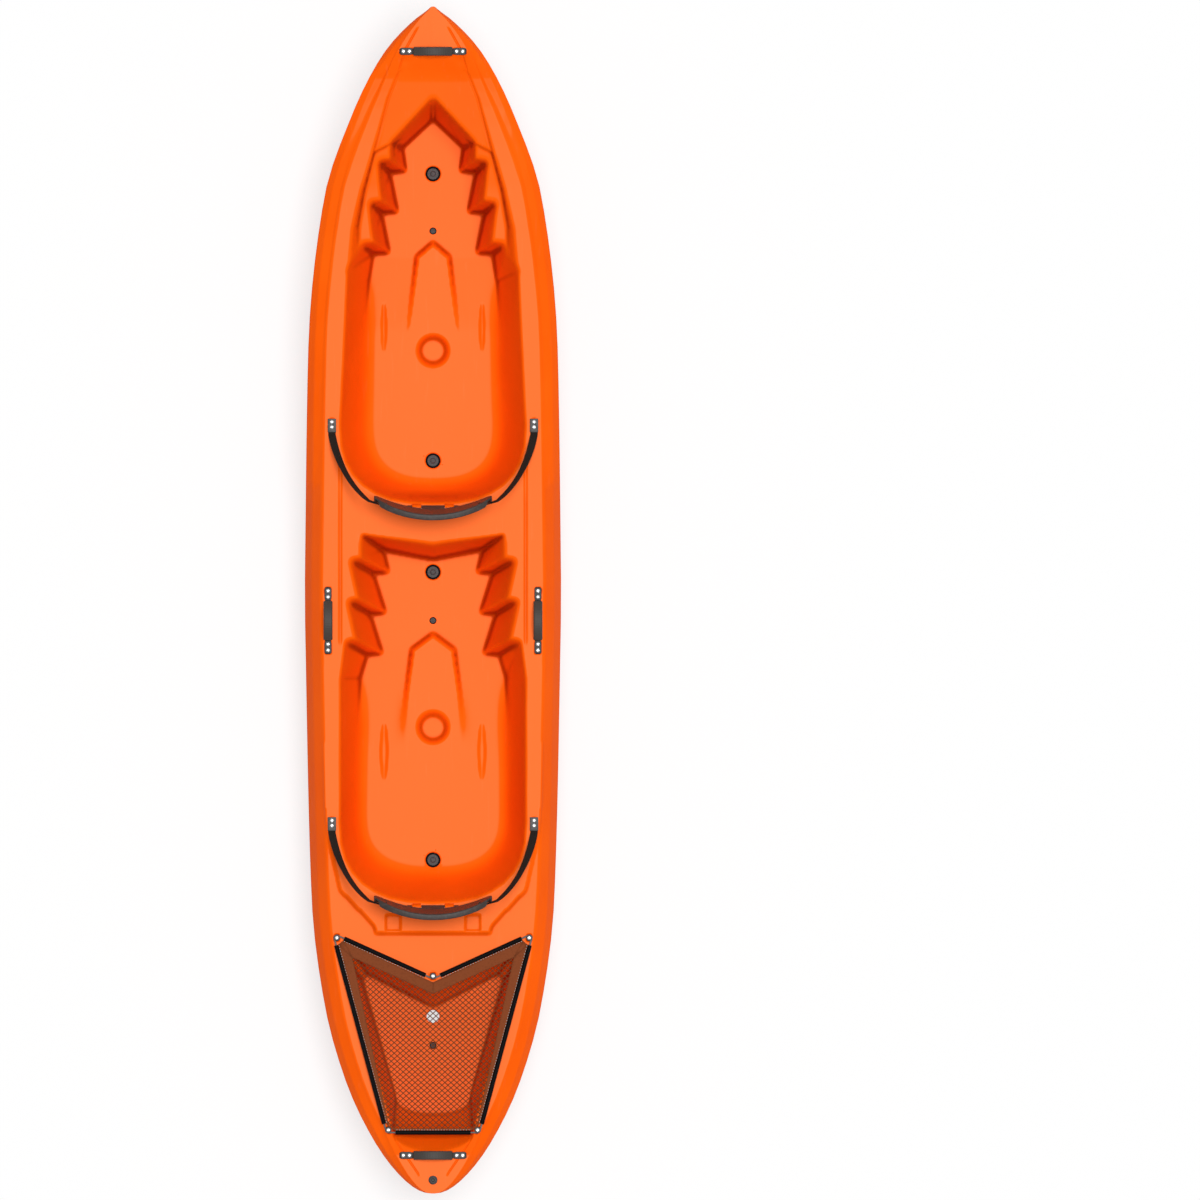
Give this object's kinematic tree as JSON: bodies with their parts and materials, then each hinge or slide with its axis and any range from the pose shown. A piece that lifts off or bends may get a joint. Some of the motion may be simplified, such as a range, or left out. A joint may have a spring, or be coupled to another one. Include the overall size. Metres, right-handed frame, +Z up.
{
  "type": "tandem kayak",
  "caption": "Sit-on-top tandem kayak: hollow moulded hull with stepped foot braces, strapped folding backrests, scupper plugs, carry handles and a netted cargo well.",
  "frame": {"origin": "middle of the hull's length and beam, at the bottom of the keel", "axes": "+Y to the bow, +X to starboard, +Z up"},
  "size_m": [0.7984, 3.7, 0.4988],
  "materials": {
    "hull_plastic": "satin moulded skin with a fine texture",
    "band_plastic": "satin",
    "grip_plastic": "fine texture",
    "screw_steel": "bright",
    "insert_brass": "plain",
    "fitting_plastic": "satin",
    "webbing": "woven webbing",
    "backrest_plastic": "grained",
    "plug_rubber": "matt",
    "net_mesh": "knotted mesh",
    "sleeve_tube": "matt",
    "edge_cord": "woven cover"
  },
  "bodies": {
    "kayak": {"hull": "hull_plastic", "bow_handle": "band_plastic", "stern_handle": "band_plastic", "port_handle": "band_plastic", "starboard_handle": "band_plastic", "bow_grip": "grip_plastic", "stern_grip": "grip_plastic", "port_grip": "grip_plastic", "starboard_grip": "grip_plastic", "handle_screws": "screw_steel", "strap_screws": "screw_steel", "net_screws": "screw_steel", "threaded_inserts": "insert_brass", "front_strap_anchors": "fitting_plastic", "rear_strap_anchors": "fitting_plastic", "front_port_strap": "webbing", "front_starboard_strap": "webbing", "rear_port_strap": "webbing", "rear_starboard_strap": "webbing", "front_hinge_pin": "screw_steel", "rear_hinge_pin": "screw_steel", "drain_seal": "plug_rubber", "drain_bush": "fitting_plastic", "cargo_net": "net_mesh", "net_sleeves": "sleeve_tube", "net_cord": "edge_cord", "net_buttons": "fitting_plastic"},
    "front_backrest": {"front_backrest": "backrest_plastic", "front_strap_buckles": "fitting_plastic"},
    "rear_backrest": {"rear_backrest": "backrest_plastic", "rear_strap_buckles": "fitting_plastic"},
    "front_foot_scupper_plug": {"front_foot_scupper_plug": "plug_rubber"},
    "front_seat_scupper_plug": {"front_seat_scupper_plug": "plug_rubber"},
    "rear_foot_scupper_plug": {"rear_foot_scupper_plug": "plug_rubber"},
    "rear_seat_scupper_plug": {"rear_seat_scupper_plug": "plug_rubber"},
    "front_bung": {"front_bung": "plug_rubber"},
    "rear_bung": {"rear_bung": "plug_rubber"},
    "cargo_bung": {"cargo_bung": "plug_rubber"},
    "drain_plug": {"drain_plug": "fitting_plastic"}
  },
  "joints": [
    {"name": "front_backrest_fold", "type": "hinge", "parent": "kayak", "child": "front_backrest", "pos_m": [0, 0.286, 0.334], "axis": [-1, 0, 0], "range_deg": [0, 70], "deforming": ["front_port_strap", "front_starboard_strap"]},
    {"name": "rear_backrest_fold", "type": "hinge", "parent": "kayak", "child": "rear_backrest", "pos_m": [0, -0.96, 0.334], "axis": [-1, 0, 0], "range_deg": [0, 70], "deforming": ["rear_port_strap", "rear_starboard_strap"]},
    {"name": "front_foot_scupper_plug_lift", "type": "slide", "parent": "kayak", "child": "front_foot_scupper_plug", "axis": [0, 0, 1], "range_m": [0, 0.06]},
    {"name": "front_seat_scupper_plug_lift", "type": "slide", "parent": "kayak", "child": "front_seat_scupper_plug", "axis": [0, 0, 1], "range_m": [0, 0.06]},
    {"name": "rear_foot_scupper_plug_lift", "type": "slide", "parent": "kayak", "child": "rear_foot_scupper_plug", "axis": [0, 0, 1], "range_m": [0, 0.06]},
    {"name": "rear_seat_scupper_plug_lift", "type": "slide", "parent": "kayak", "child": "rear_seat_scupper_plug", "axis": [0, 0, 1], "range_m": [0, 0.06]},
    {"name": "front_bung_lift", "type": "slide", "parent": "kayak", "child": "front_bung", "axis": [0, 0, 1], "range_m": [0, 0.02]},
    {"name": "rear_bung_lift", "type": "slide", "parent": "kayak", "child": "rear_bung", "axis": [0, 0, 1], "range_m": [0, 0.02]},
    {"name": "cargo_bung_lift", "type": "slide", "parent": "kayak", "child": "cargo_bung", "axis": [0, 0, 1], "range_m": [0, 0.02]},
    {"name": "drain_plug_lift", "type": "slide", "parent": "kayak", "child": "drain_plug", "axis": [0, 0, 1], "range_m": [0, 0.03]}
  ]
}
